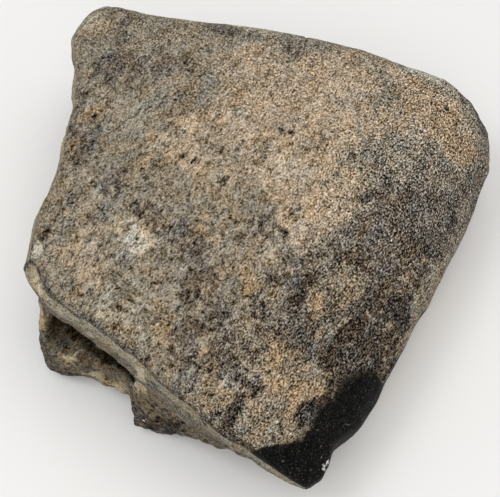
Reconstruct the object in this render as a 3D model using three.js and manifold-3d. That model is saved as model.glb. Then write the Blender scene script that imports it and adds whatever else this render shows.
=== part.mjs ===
// A broken length of a hadrosaur's shin bone (tibia), turned to stone, lying on its broken side.
//
// Millimetres, +Z up. The origin is on the ground below the middle of the fragment's box.
// +X runs along the straight front break towards the round shoulder of the shaft.
// +Y runs along the bone, from the front break to the wider far end.
//
// The fragment keeps the natural outside of the shaft on top: a shallow crown that rolls
// over into a round shoulder at the right. The other three sides are breaks. The front one
// shows the thick outer wall of the bone as a band, the hollow of the marrow under it, a
// ledge of the opposite wall in front of the hollow, and a block that carries the front edge.

import * as THREE from 'three';
import { ImprovedNoise } from 'three/addons/math/ImprovedNoise.js';
import { mergeVertices } from 'three/addons/utils/BufferGeometryUtils.js';
import Module from 'manifold-3d';

// ---- Driving dimensions, in millimetres ----

const CROWN_HEIGHT = 46;        // highest point above the ground
const CROWN_X = -10;            // where the crown's ridge runs
const CROWN_Y = 5;              // where the ridge is highest
const RIDGE_REACH = 65;         // from there to either end of the bone
const RIDGE_FALL = 6;           // what the ridge loses over that reach
const RIGHT_REACH = 76;         // from the ridge to the round shoulder
const RIGHT_FALL = 12;
const LEFT_REACH = 56;          // from the ridge to the left break
const LEFT_FALL = 6;
const SHOULDER_HEIGHT = 16;     // where the round shoulder stands upright
const SHOULDER_X = 64.8;        // its place where it reaches furthest out
const SHOULDER_Y = -38;
const SHOULDER_BEND = 0.00115;  // how it falls back to either end, per millimetre squared
const SHOULDER_WIDTH = { front: 32, back: 22 };   // over which the crown rounds down to it
const CRUST = 1;                // the outermost skin, which ends in a small step at a break
const CROWN_BUMPS = [[0.6, 20, 0], [0.25, 11, 4]];   // [height, size, shift] of each layer

const HOLLOW_MIDDLE = [-4.5, -57, 29.4];  // middle of the hollow's roof
const HOLLOW_HALF_WIDTH = 15.9;
const HOLLOW_DEPTH = 19;                  // half of its length along the bone
const HOLLOW_LEFT_HEIGHT = 19;
const HOLLOW_RIGHT_HEIGHT = 6.5;
const HOLLOW_ROUNDING = 0.36;             // 0 is a box, 1 an ellipsoid
const HOLLOW_SIDE_BUMPS = [[1.1, 7, 11]];
const HOLLOW_ROOF_BUMPS = [[0.9, 8, 5]];
const HOLLOW_CHIPS = [0.8, 9];            // [height, size] of the flat chips

const BREAK_BUMPS = [[1, 9, 0], [0.7, 4.1, 7]];
const BREAK_CHIPS = [2.2, 13];

const FOOT_MIDDLE = [17, -55];            // flat foot under the block
const FOOT_RADIUS = 9;
const FOOT_EDGE = 5;                      // over which the underside rises beside the foot
const SCOOPS = [[6, 23, 3]];              // where the underside is off the ground

// Mesh: one grid of columns round the fragment and rows from the crown down and under it.
const COLUMNS = { left: 24, front: 42, right: 26, back: 28 };
const TOP_ROWS = 17;
const WALL_ROWS = [1, 1, 3, 2, 2, 1];
const ROUGHNESS = [0.3, 0.35, 0.6, 0.9, 1, 1];   // how chipped each stretch of a broken wall is
const UNDER_ROWS = 8;
const EDGE_CROWDING = 1.35;                      // above 1, rows crowd towards the crown's edge
const HOLLOW_CELLS = [15, 8, 12];

const noise = new ImprovedNoise();

// Smooth bumps in layers, each `height` mm high and about `size` mm across.
function bumps(point, layers) {
  const heights = layers.map(([height, size, shift]) => {
    const place = point.clone().divideScalar(size).add(new THREE.Vector3(shift, -shift, 0.37));
    return height * noise.noise(place.x, place.y, place.z);
  });
  return heights.reduce((sum, height) => sum + height, 0);
}

// A fixed number between 0 and 1 for each cell of a grid.
function cellValue(cell, salt) {
  const mixed = Math.sin(cell.x * 127.1 + cell.y * 311.7 + cell.z * 74.7 + salt * 19.3) * 43758.5453;
  return mixed - Math.floor(mixed);
}

// Flat chips about `size` mm across with sharp borders, each tilted its own way: how far the
// stone stands out at a point, between about -`height` and `height`.
function chips(point, [height, size]) {
  const place = point.clone().divideScalar(size);
  const corner = place.clone().floor();
  const cell = new THREE.Vector3();
  const centre = new THREE.Vector3();
  const tilt = new THREE.Vector3();
  let nearest = Infinity;
  let value = 0;
  for (let step = 0; step < 27; step += 1) {
    cell.set(step % 3 - 1, Math.floor(step / 3) % 3 - 1, Math.floor(step / 9) - 1).add(corner);
    centre.set(cellValue(cell, 1), cellValue(cell, 2), cellValue(cell, 3)).add(cell);
    const distance = centre.distanceTo(place);
    if (distance < nearest) {
      nearest = distance;
      tilt.set(cellValue(cell, 4), cellValue(cell, 5), cellValue(cell, 6)).subScalar(0.5);
      value = cellValue(cell, 7) - 0.5 + 1.4 * place.clone().sub(centre).dot(tilt);
    }
  }
  return height * value;
}

// ---- How the sides of the fragment are shaped ----

// One level of a wall: its height, how far it stands out from the top edge, and how far it
// is moved along the edge.
function level(z, out, along = 0) {
  return { z, out, along };
}

// A wall from the top edge to the ground. `roll` is how far the crown dips over the last
// `rollWidth` mm, `skin` how far back the crust ends, `chamfer` how far the break falls from
// there to the edge, `chipped` how rough the wall is, and `sole` where it meets the ground.
function wall(roll, rollWidth, skin, chamfer, chipped, band, ledge, lip, sole) {
  return { roll, rollWidth, skin, chamfer, chipped, band, ledge, lip, sole };
}

// The bone's outer wall, about 11 mm thick, is the band from the crust down to the first level.
const LEFT = wall(2, 3, 0.9, 0, 0.9, level(28, -1.5), level(18, -4), level(7, -2.5), level(0, -6));
const LEFT_NEAR = wall(2, 3, 1.2, 0, 0.8, level(28.5, -2), level(17, -4), level(7, -2.5), level(0, -7));
const FRONT_LEFT_CORNER = wall(1.5, 3, 2.4, 0, 0.3, level(28, -0.8, 6), level(9, 3.4, 9.4),
  level(4.5, 3.8, 9), level(0, -6, 6));
const LEDGE_LOW = wall(1, 3, 2.2, 0, 0.5, level(28, 0), level(11, 3.2), level(3, 6.2), level(0, -4));
const LEDGE_MIDDLE = wall(0.8, 3, 1.5, 0, 0.5, level(28, -0.4), level(14, 1.5), level(4.6, 1.2),
  level(0, -8));
const LEDGE_HIGH = wall(0.8, 3, 1.5, 0, 0.5, level(27.5, -0.6), level(18, 0.4), level(9, 0.6),
  level(0, -9));
const LEDGE_END = wall(0.8, 3, 1.5, 0, 0.4, level(27, -0.3), level(20, 0), level(11.5, 0.2), level(0, -9));
const BLOCK_SIDE = wall(0.8, 3, 1.5, 0, 0.4, level(26.8, 1), level(15, 3.2, -0.8), level(3, 4.3, -1.8),
  level(0, 3.8, -1.5));
const BLOCK = wall(0.8, 3, 1.5, 0, 0.6, level(26, 1.2), level(13, 2.4), level(2.8, 2.6), level(0, 2));
const BLOCK_BACK = wall(1, 3, 1.5, 0, 0.6, level(25, 1), level(12, 0.4), level(3, -1.4), level(0, -2.2));
const UNDERCUT_START = wall(1.2, 4, 1.5, 0, 0.6, level(24.2, 1.4), level(13, 1.6), level(5.5, -3),
  level(0, -9));
const UNDERCUT = wall(1.6, 5, 1.5, 0, 0.6, level(22.6, 1.6), level(15, 1.8), level(9, -11), level(0, -17));
const UNDERCUT_DEEP = wall(1.6, 5, 1.5, 0, 0.6, level(20, -0.6), level(16, -2.4), level(10, -14),
  level(0, -22));
const UNDERCUT_THIN = wall(1.4, 4, 1.1, 0, 0.5, level(16.6, -0.2), level(14.4, -1.3), level(9, -15),
  level(0, -24));
const FRONT_RIGHT_CORNER = wall(0.6, 3, 0.7, 0, 0.3, level(15, -0.2), level(13, -1.8), level(8, -13),
  level(0, -24));
const SHOULDER_NEAR = wall(0, 1, 0.3, 0, 0.3, level(13.4, -0.3), level(9.5, -4), level(5, -11),
  level(0, -19));
const SHOULDER = wall(0, 1, 0.3, 0, 0.25, level(14, -0.3), level(8, -3), level(3, -8), level(0, -12));
const SHOULDER_FAR = wall(0, 1, 2.4, 3, 0.6, level(14, -0.5), level(8, -3.2), level(3, -7.5),
  level(0, -11.5));
const BACK_RIGHT_CORNER = wall(0.8, 3, 4, 7, 0.7, level(14, -0.8), level(8, -3.4), level(3, -7),
  level(0, -11));
const BACK_FALLING = wall(2.6, 6, 4, 4.5, 0.8, level(18, -1), level(12, -4), level(5, -5), level(0, -9));
const BACK = wall(5, 9, 0.5, 0, 0.9, level(27, -1), level(18, -4), level(7, -2.6), level(0, -6));
const BACK_LEFT_CORNER = wall(3, 5, 0.6, 0, 0.6, level(26, -1), level(16, -3), level(6, -2), level(0, -6));

// The top edge seen from above, anticlockwise, side by side. Each side starts and ends at a
// corner: [x, y, wall].
const LEFT_BREAK = [
  [-63.8, 25.4, BACK_LEFT_CORNER],
  [-65.9, 21.6, BACK_LEFT_CORNER],
  [-65.3, 15.8, LEFT],
  [-63.4, 10, LEFT],
  [-58, 3.5, LEFT],
  [-49.5, -7.5, LEFT],
  [-42.6, -21, LEFT],
  [-37.6, -31.3, LEFT],
  [-34.6, -44, LEFT_NEAR],
  [-31, -52, LEFT_NEAR],
  [-28.8, -57.6, FRONT_LEFT_CORNER],
];
const FRONT_BREAK = [
  [-28.8, -57.6, FRONT_LEFT_CORNER],
  [-16.5, -61.4, LEDGE_LOW],
  [-5, -62.4, LEDGE_MIDDLE],
  [4.5, -63.2, LEDGE_HIGH],
  [9.2, -63.4, LEDGE_END],
  [11.4, -63.5, BLOCK_SIDE],
  [17, -63.6, BLOCK],
  [23, -63.9, BLOCK_BACK],
  [29, -64, UNDERCUT_START],
  [35.5, -64.1, UNDERCUT],
  [46.5, -63.5, UNDERCUT_DEEP],
  [57, -62.8, UNDERCUT_THIN],
  [62.2, -61.6, FRONT_RIGHT_CORNER],
];
const RIGHT_SHOULDER = [
  [62.2, -61.6, FRONT_RIGHT_CORNER],
  [63.9, -58, SHOULDER_NEAR],
  [63.4, -53, SHOULDER_NEAR],
  [61.8, -49, SHOULDER_NEAR],
  [64.1, -42, SHOULDER_NEAR],
  [65, -34, SHOULDER],
  [64.1, -23, SHOULDER],
  [63.2, -11.5, SHOULDER],
  [61.8, 5.5, SHOULDER],
  [60.6, 21, SHOULDER],
  [59, 33, SHOULDER],
  [56.8, 45, SHOULDER_FAR],
  [52.9, 56.4, BACK_RIGHT_CORNER],
];
const BACK_BREAK = [
  [52.9, 56.4, BACK_RIGHT_CORNER],
  [50.8, 60, BACK_FALLING],
  [46.8, 61.2, BACK_FALLING],
  [37.7, 61.8, BACK_FALLING],
  [29.7, 58.4, BACK],
  [21.2, 55.6, BACK],
  [10.7, 53.2, BACK],
  [-3.3, 48, BACK],
  [-20.8, 41.7, BACK],
  [-38.2, 33.6, BACK],
  [-52.2, 28.8, BACK],
  [-59.2, 27.2, BACK_LEFT_CORNER],
  [-63.8, 25.4, BACK_LEFT_CORNER],
];

// ---- The natural outside of the shaft ----

function crownHeight(x, y) {
  const alongRidge = ((y - CROWN_Y) / RIDGE_REACH) ** 2;
  const across = x - CROWN_X;
  const reach = across > 0 ? RIGHT_REACH : LEFT_REACH;
  const fall = across > 0 ? RIGHT_FALL : LEFT_FALL;
  return CROWN_HEIGHT - RIDGE_FALL * alongRidge - fall * (across / reach) ** 2;
}

// The crown, and the quarter ellipse by which it comes down to the height of the shoulder.
function outsideHeight(x, y) {
  const shoulderX = SHOULDER_X - SHOULDER_BEND * (y - SHOULDER_Y) ** 2;
  const alongSide = THREE.MathUtils.smoothstep(y, -RIDGE_REACH, RIDGE_REACH);
  const width = THREE.MathUtils.lerp(SHOULDER_WIDTH.front, SHOULDER_WIDTH.back, alongSide);
  const place = THREE.MathUtils.clamp(1 - (shoulderX - x) / width, 0, 1);
  const rise = crownHeight(x, y) - SHOULDER_HEIGHT;
  return SHOULDER_HEIGHT + rise * Math.sqrt(1 - place ** 2);
}

// ---- From the listed corners to evenly spread columns ----

function mixLevels(a, b, t) {
  const { lerp } = THREE.MathUtils;
  return level(lerp(a.z, b.z, t), lerp(a.out, b.out, t), lerp(a.along, b.along, t));
}

function mixWalls(a, b, t) {
  const { lerp } = THREE.MathUtils;
  return wall(
    lerp(a.roll, b.roll, t),
    lerp(a.rollWidth, b.rollWidth, t),
    lerp(a.skin, b.skin, t),
    lerp(a.chamfer, b.chamfer, t),
    lerp(a.chipped, b.chipped, t),
    mixLevels(a.band, b.band, t),
    mixLevels(a.ledge, b.ledge, t),
    mixLevels(a.lip, b.lip, t),
    mixLevels(a.sole, b.sole, t),
  );
}

// Columns of one side, from its first corner up to but without its last one.
function sideColumns(side, count) {
  const corners = side.map(([x, y]) => new THREE.Vector3(x, y, 0));
  const curve = new THREE.CatmullRomCurve3(corners, false, 'centripetal');
  const columns = [];
  for (let i = 0; i < count; i += 1) {
    const t = curve.getUtoTmapping(i / count);
    const place = t * (side.length - 1);
    const before = Math.min(Math.floor(place), side.length - 2);
    const edge = curve.getPoint(t);
    columns.push({ edge, ...mixWalls(side[before][2], side[before + 1][2], place - before) });
  }
  return columns;
}

// The wall of a column as a list of points, from the end of the crust down to the sole.
function wallPoints(column) {
  const { edge, skin, chamfer, band, ledge, lip, sole } = column;
  const outward = new THREE.Vector3(edge.x, edge.y, 0).normalize();
  const along = new THREE.Vector3(-outward.y, outward.x, 0);
  const crustEnd = edge.clone().addScaledVector(outward, -skin);
  const top = outsideHeight(crustEnd.x, crustEnd.y) - column.roll;
  const crust = CRUST * Math.min(1, skin / 1.5);
  const levels = [
    level(top, -skin),
    level(top - crust - 0.2 * chamfer, -0.7 * skin),
    level(top - 1.9 * crust - chamfer, 0),
    band,
    ledge,
    lip,
    sole,
  ];
  return levels.map(({ z, out, along: shift }) => {
    const point = edge.clone().addScaledVector(outward, out).addScaledVector(along, shift);
    point.z = z;
    return point;
  });
}

// ---- The rows of one column ----

function crownPoint(rimPoint, column, t) {
  const spread = 1 - (1 - t) ** EDGE_CROWDING;
  const x = rimPoint.x * spread;
  const y = rimPoint.y * spread;
  const toRim = Math.hypot(rimPoint.x - x, rimPoint.y - y);
  const rollPlace = Math.max(0, 1 - toRim / column.rollWidth);
  const drop = column.roll * (1 - Math.sqrt(1 - rollPlace ** 2));
  const point = new THREE.Vector3(x, y, outsideHeight(x, y) - drop);
  const awayFromPole = Math.min(1, t * 4);
  point.z += awayFromPole * bumps(point, CROWN_BUMPS);
  return point;
}

// Chipped, uneven stone where the bone broke: chips and bumps that move the wall in and out.
function roughen(point, amount) {
  const outward = new THREE.Vector3(point.x, point.y, 0).normalize();
  const relief = chips(point, BREAK_CHIPS) + bumps(point, BREAK_BUMPS);
  return point.addScaledVector(outward, amount * relief);
}

// The underside: flat where it carries the fragment, hollowed between those places.
function underPoint(solePoint, t) {
  const reach = 1 - t;
  const point = new THREE.Vector3(solePoint.x * reach, solePoint.y * reach, 0);
  const toFoot = Math.hypot(point.x - FOOT_MIDDLE[0], point.y - FOOT_MIDDLE[1]);
  const besideFoot = THREE.MathUtils.smoothstep(toFoot, FOOT_RADIUS, FOOT_RADIUS + FOOT_EDGE);
  point.z = Math.max(0, besideFoot * bumps(point, SCOOPS));
  return point;
}

function columnPoints(column) {
  const path = wallPoints(column);
  const points = [];
  for (let row = 0; row < TOP_ROWS; row += 1) {
    points.push(crownPoint(path[0], column, row / TOP_ROWS));
  }
  WALL_ROWS.forEach((rows, stretch) => {
    for (let row = 0; row < rows; row += 1) {
      const point = path[stretch].clone().lerp(path[stretch + 1], row / rows);
      points.push(roughen(point, ROUGHNESS[stretch] * column.chipped));
    }
  });
  for (let row = 0; row <= UNDER_ROWS; row += 1) {
    points.push(underPoint(path[path.length - 1], row / UNDER_ROWS));
  }
  return points;
}

// Keeps only the positions, and joins the vertices that lie on each other.
function weld(geometry) {
  geometry.deleteAttribute('normal');
  geometry.deleteAttribute('uv');
  return mergeVertices(geometry, 1e-4);
}

// The grid of a sphere, with every vertex moved to its place on the fragment.
function fragmentGeometry() {
  const columns = [
    ...sideColumns(LEFT_BREAK, COLUMNS.left),
    ...sideColumns(FRONT_BREAK, COLUMNS.front),
    ...sideColumns(RIGHT_SHOULDER, COLUMNS.right),
    ...sideColumns(BACK_BREAK, COLUMNS.back),
  ].map(columnPoints);
  const rows = columns[0].length - 1;
  const geometry = new THREE.SphereGeometry(1, columns.length, rows);
  const position = geometry.attributes.position;
  for (let row = 0; row <= rows; row += 1) {
    for (let column = 0; column <= columns.length; column += 1) {
      const point = columns[column % columns.length][row];
      position.setXYZ(row * (columns.length + 1) + column, point.x, point.y, point.z);
    }
  }
  return weld(geometry);
}

// The hollow of the marrow: a flattened pocket, tall at the left and low at the right.
function hollowGeometry() {
  const geometry = weld(new THREE.BoxGeometry(2, 2, 2, ...HOLLOW_CELLS));
  const position = geometry.attributes.position;
  const point = new THREE.Vector3();
  for (let i = 0; i < position.count; i += 1) {
    point.fromBufferAttribute(position, i);
    point.lerp(point.clone().normalize(), HOLLOW_ROUNDING);
    const height = THREE.MathUtils.lerp(HOLLOW_LEFT_HEIGHT, HOLLOW_RIGHT_HEIGHT, (point.x + 1) / 2);
    point.set(
      HOLLOW_MIDDLE[0] + HOLLOW_HALF_WIDTH * point.x,
      HOLLOW_MIDDLE[1] - HOLLOW_DEPTH * point.z,
      HOLLOW_MIDDLE[2] + height * (point.y - 1) / 2,
    );
    point.x += bumps(point, HOLLOW_SIDE_BUMPS);
    point.z += bumps(point, HOLLOW_ROOF_BUMPS) + chips(point, HOLLOW_CHIPS);
    position.setXYZ(i, point.x, point.y, point.z);
  }
  return geometry;
}

// ---- Cutting the hollow, and the finished node ----

function toSolid(wasm, geometry) {
  return new wasm.Manifold(new wasm.Mesh({
    numProp: 3,
    vertProperties: new Float32Array(geometry.attributes.position.array),
    triVerts: new Uint32Array(geometry.index.array),
  }));
}

function toGeometry(solid) {
  const mesh = solid.getMesh();
  const geometry = new THREE.BufferGeometry();
  geometry.setAttribute('position', new THREE.BufferAttribute(mesh.vertProperties, 3));
  geometry.setIndex(new THREE.BufferAttribute(mesh.triVerts, 1));
  return geometry;
}

// Moves the shape so that the origin is below the middle of its box.
function standOnOrigin(geometry) {
  geometry.computeBoundingBox();
  const { min, max } = geometry.boundingBox;
  geometry.translate(-(min.x + max.x) / 2, -(min.y + max.y) / 2, -min.z);
  return geometry;
}

const wasm = await Module();
wasm.setup();

const stone = new THREE.MeshStandardMaterial({ color: 0x6f675c, roughness: 0.82, metalness: 0 });
const fragmentSolid = toSolid(wasm, fragmentGeometry()).subtract(toSolid(wasm, hollowGeometry()));
const fragmentMesh = new THREE.Mesh(standOnOrigin(toGeometry(fragmentSolid)), stone);
fragmentMesh.name = 'tibia_fragment';

const fossil = new THREE.Group();
fossil.add(fragmentMesh);

export default fossil;
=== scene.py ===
# %% [markdown]
# # A piece of hadrosaur shin bone, turned to stone
#
# The object is one broken length of a tibia shaft. Its top is the natural outside of the
# bone, grainy and stained. Its sides are breaks that show the pale outer wall of the bone,
# the hollow of the marrow and rougher stone below. The frame holds the solid with its true
# main shapes. This lesson gives it a finer surface, relief, stains and a studio around it.

# %% Load the frame
import math
from types import SimpleNamespace

import bmesh
import bpy
import numpy as np
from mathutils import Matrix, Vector, kdtree, noise


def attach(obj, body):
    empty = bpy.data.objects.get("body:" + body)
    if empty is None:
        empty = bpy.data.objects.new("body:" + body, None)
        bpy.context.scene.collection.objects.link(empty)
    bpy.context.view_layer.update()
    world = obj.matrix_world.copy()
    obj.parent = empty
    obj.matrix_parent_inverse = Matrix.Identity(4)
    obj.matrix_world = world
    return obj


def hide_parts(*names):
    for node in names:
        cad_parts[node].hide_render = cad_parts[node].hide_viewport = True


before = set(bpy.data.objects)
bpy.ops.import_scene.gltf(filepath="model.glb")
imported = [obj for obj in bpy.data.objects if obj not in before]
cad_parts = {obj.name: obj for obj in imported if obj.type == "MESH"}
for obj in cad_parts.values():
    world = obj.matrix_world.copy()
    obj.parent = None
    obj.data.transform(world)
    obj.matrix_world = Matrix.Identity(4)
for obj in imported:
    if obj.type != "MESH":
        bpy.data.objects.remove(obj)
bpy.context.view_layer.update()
MM = 0.001


# %% [markdown]
# ## An even skin of small faces
#
# The solid of the frame has large flat faces. Relief needs vertices to move, so a copy of it
# is covered anew by a voxel remesh: small squares of one size all over, without seams. The
# size is chosen as small as the limit on triangles allows. A remesh was chosen rather than a
# subdivision, because it also gives long thin faces an even grid.

# %% Remesh a copy of the solid
SKIN_STEP = 0.715 * MM
SAME_PLACE = 0.001 * MM


def evaluated_mesh(thing):
    """The mesh of an object with its modifiers applied."""
    depsgraph = bpy.context.evaluated_depsgraph_get()
    return bpy.data.meshes.new_from_object(thing.evaluated_get(depsgraph))


def apply_modifiers(thing):
    mesh = evaluated_mesh(thing)
    thing.modifiers.clear()
    thing.data = mesh


def merged_copy(node_name, name):
    """A copy of a frame node whose loose triangles are joined."""
    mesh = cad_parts[node_name].data.copy()
    shape = bmesh.new()
    shape.from_mesh(mesh)
    bmesh.ops.remove_doubles(shape, verts=shape.verts, dist=SAME_PLACE)
    shape.to_mesh(mesh)
    shape.free()
    mesh.materials.clear()
    thing = bpy.data.objects.new(name, mesh)
    bpy.context.scene.collection.objects.link(thing)
    return thing


fossil = merged_copy("tibia_fragment", "tibia_fossil")
remesh = fossil.modifiers.new("even skin", "REMESH")
remesh.mode = "VOXEL"
remesh.voxel_size = SKIN_STEP
apply_modifiers(fossil)
print("faces after the remesh:", len(fossil.data.polygons))

# %% [markdown]
# ## Working on all vertices at once
#
# A loop over a hundred thousand vertices is slow in Python, so the places and normals are
# read into NumPy arrays. Softening averages a value with its neighbours along the edges.
# The last helper writes an array back as a named attribute, which node trees can read.

# %% The array helpers


def vertex_array(mesh, field, width):
    values = np.empty(len(mesh.vertices) * width, np.float32)
    mesh.vertices.foreach_get(field, values)
    return values.reshape(-1, width)


def edge_array(mesh):
    values = np.empty(len(mesh.edges) * 2, np.int32)
    mesh.edges.foreach_get("vertices", values)
    return values.reshape(-1, 2)


def soften(values, edges, rounds):
    """Averages a value over each vertex and its neighbours, a number of times."""
    values = np.array(values, float)
    count = np.bincount(edges.ravel(), minlength=len(values)) + 1
    flat = values.reshape(len(values), -1)
    for _ in range(rounds):
        total = flat.copy()
        for column in range(flat.shape[1]):
            total[:, column] += np.bincount(edges[:, 0], flat[edges[:, 1], column], len(values))
            total[:, column] += np.bincount(edges[:, 1], flat[edges[:, 0], column], len(values))
        flat = total / count[:, None]
    return flat.reshape(values.shape)


def distance_to(points, targets):
    """How far each point lies from the nearest target."""
    tree = kdtree.KDTree(len(targets))
    for number, target in enumerate(targets):
        tree.insert(target, number)
    tree.balance()
    return np.array([tree.find(point)[2] for point in points])


def waves(place, size, shift=0.0):
    """One layer of noise between about -0.5 and 0.5, with lumps of one size in mm."""
    return np.array([noise.noise(Vector(point) / size + Vector((shift, 0, 0))) for point in place])


def set_attribute(mesh, name, values):
    attribute = mesh.attributes.new(name, "FLOAT", "POINT")
    attribute.data.foreach_set("value", np.asarray(values, np.float32))


print("vertices:", len(fossil.data.vertices), "edges:", len(fossil.data.edges))

# %% [markdown]
# ## Where is the natural outside, and where is a break?
#
# Every later step needs to know how far a point lies from the edge between the natural
# outside of the bone and its broken sides. The outside faces up, and at the round shoulder
# it also faces right. So the normals tell the two apart, and a nearest-point search turns
# that into a distance: negative on the outside, positive on a break. Along the front, the
# crust ends on a wavering line of its own, which a short list of points gives. On the right
# half of the front, a second list gives the height at which the crust ends.

# %% Measure the distance from the crust's edge
FACING_UP = 0.62
FACING_RIGHT = 0.6
FACING_BACK = 0.4
SHOULDER_X = 44
LOWEST_SHOULDER = 12
SHOULDER_WAVER = (6.0, 13.0)
LOWEST_CROWN = 29
NORMAL_ROUNDS = 4
DISTANCE_ROUNDS = 2
# The crust's edge from above: x and y in mm.
FRONT_CRUST = [(-27, -52.5), (-24.5, -52.3), (-20.7, -55), (-17.5, -56.9), (-10, -57.6),
               (-5, -58.7), (4, -59.2), (14, -59.4)]
# The crust's edge from the front: x and height in mm, and how far back it counts.
RIGHT_CRUST = [(14.5, 37), (20, 34.6), (26.5, 33), (33.5, 31.4), (40, 29), (47, 25.8),
               (53, 23.4), (58, 21.2), (66, 15)]
RIGHT_CRUST_BACK = -50


def in_front_of(place, line):
    """How far each place lies in front of a line that runs from left to right."""
    x, y = np.array(line, float).T
    inside = (place[:, 0] > x[0]) & (place[:, 0] < x[-1])
    return np.where(inside, np.interp(place[:, 0], x, y) - place[:, 1], -np.inf)


def is_outside(place, normal):
    """Whether each vertex belongs to the natural outside."""
    crown = (normal[:, 2] > FACING_UP) & (place[:, 2] > LOWEST_CROWN)
    reach, size = SHOULDER_WAVER
    lowest = LOWEST_SHOULDER + reach * waves(place, size)
    shoulder = (place[:, 0] > SHOULDER_X) & (place[:, 2] > lowest)
    shoulder &= (normal[:, 2] > FACING_UP) | (normal[:, 0] > FACING_RIGHT)
    shoulder &= normal[:, 1] < FACING_BACK
    outside = (crown | shoulder) & (in_front_of(place, FRONT_CRUST) < 0)
    rim_x, rim_z = np.array(RIGHT_CRUST, float).T
    at_right = (place[:, 0] > rim_x[0]) & (place[:, 1] < RIGHT_CRUST_BACK)
    return np.where(at_right, place[:, 2] > np.interp(place[:, 0], rim_x, rim_z), outside)


def measure_edge(mesh):
    """The signed distance in mm of each vertex from the edge of the natural outside."""
    place = vertex_array(mesh, "co", 3) / MM
    edges = edge_array(mesh)
    normal = soften(vertex_array(mesh, "normal", 3), edges, NORMAL_ROUNDS)
    normal /= np.linalg.norm(normal, axis=1)[:, None]
    outside = is_outside(place, normal)
    distance = np.zeros(len(place))
    distance[~outside] = distance_to(place[~outside], place[outside])
    distance[outside] = -distance_to(place[outside], place[~outside])
    return soften(distance, edges, DISTANCE_ROUNDS)


edge_distance = measure_edge(fossil.data)
set_attribute(fossil.data, "edge", edge_distance)
print("natural outside:", round(100 * float((edge_distance < 0).mean())), "% of the surface")

# %% [markdown]
# ## Taking the flats out of the crown
#
# The crown of the real bone is smooth from edge to edge, while the solid's crown is made of
# flats a few millimetres wide. A Smooth modifier evens them out. A vertex group holds it
# back near the broken edges and at the far right corner, which stay crisp.

# %% Smooth the crown
CROWN_SMOOTHING = 26
SMOOTHING_FACTOR = 0.5
EDGE_WEIGHT = 0.12
EDGE_KEPT = 1.5
EDGE_FADE = 5.0
CORNER = (42, 46)
CORNER_FADE = 6.0
WEIGHT_LEVELS = 20


def smooth_crown(thing, distance):
    inside = np.clip((-distance - EDGE_KEPT) / EDGE_FADE, 0, 1)
    past_corner = (vertex_array(thing.data, "co", 3)[:, :2] / MM - CORNER) / CORNER_FADE
    in_corner = np.clip(past_corner, 0, 1).prod(axis=1)
    weights = (EDGE_WEIGHT + (1 - EDGE_WEIGHT) * inside) * (1 - in_corner)
    group = thing.vertex_groups.new(name="crown")
    for level in range(1, WEIGHT_LEVELS + 1):
        chosen = np.nonzero(np.round(weights * WEIGHT_LEVELS) == level)[0]
        group.add(chosen.tolist(), level / WEIGHT_LEVELS, "REPLACE")
    smooth = thing.modifiers.new("worn smooth", "SMOOTH")
    smooth.factor = SMOOTHING_FACTOR
    smooth.iterations = CROWN_SMOOTHING
    smooth.vertex_group = "crown"
    apply_modifiers(thing)
    thing.vertex_groups.clear()


smooth_crown(fossil, edge_distance)
print("smoothed vertices:", len(fossil.data.vertices))

# %% [markdown]
# ## Stains, each in its place
#
# Stains on a fossil come from the ground water of its bed, so each has its own place. They
# could be left to chance, but then every piece would look alike. So they are listed here,
# by kind. On the outside, every stain is an oval with a centre, two half sizes and a turn,
# seen from above. All lengths in the lists are in mm.

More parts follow.
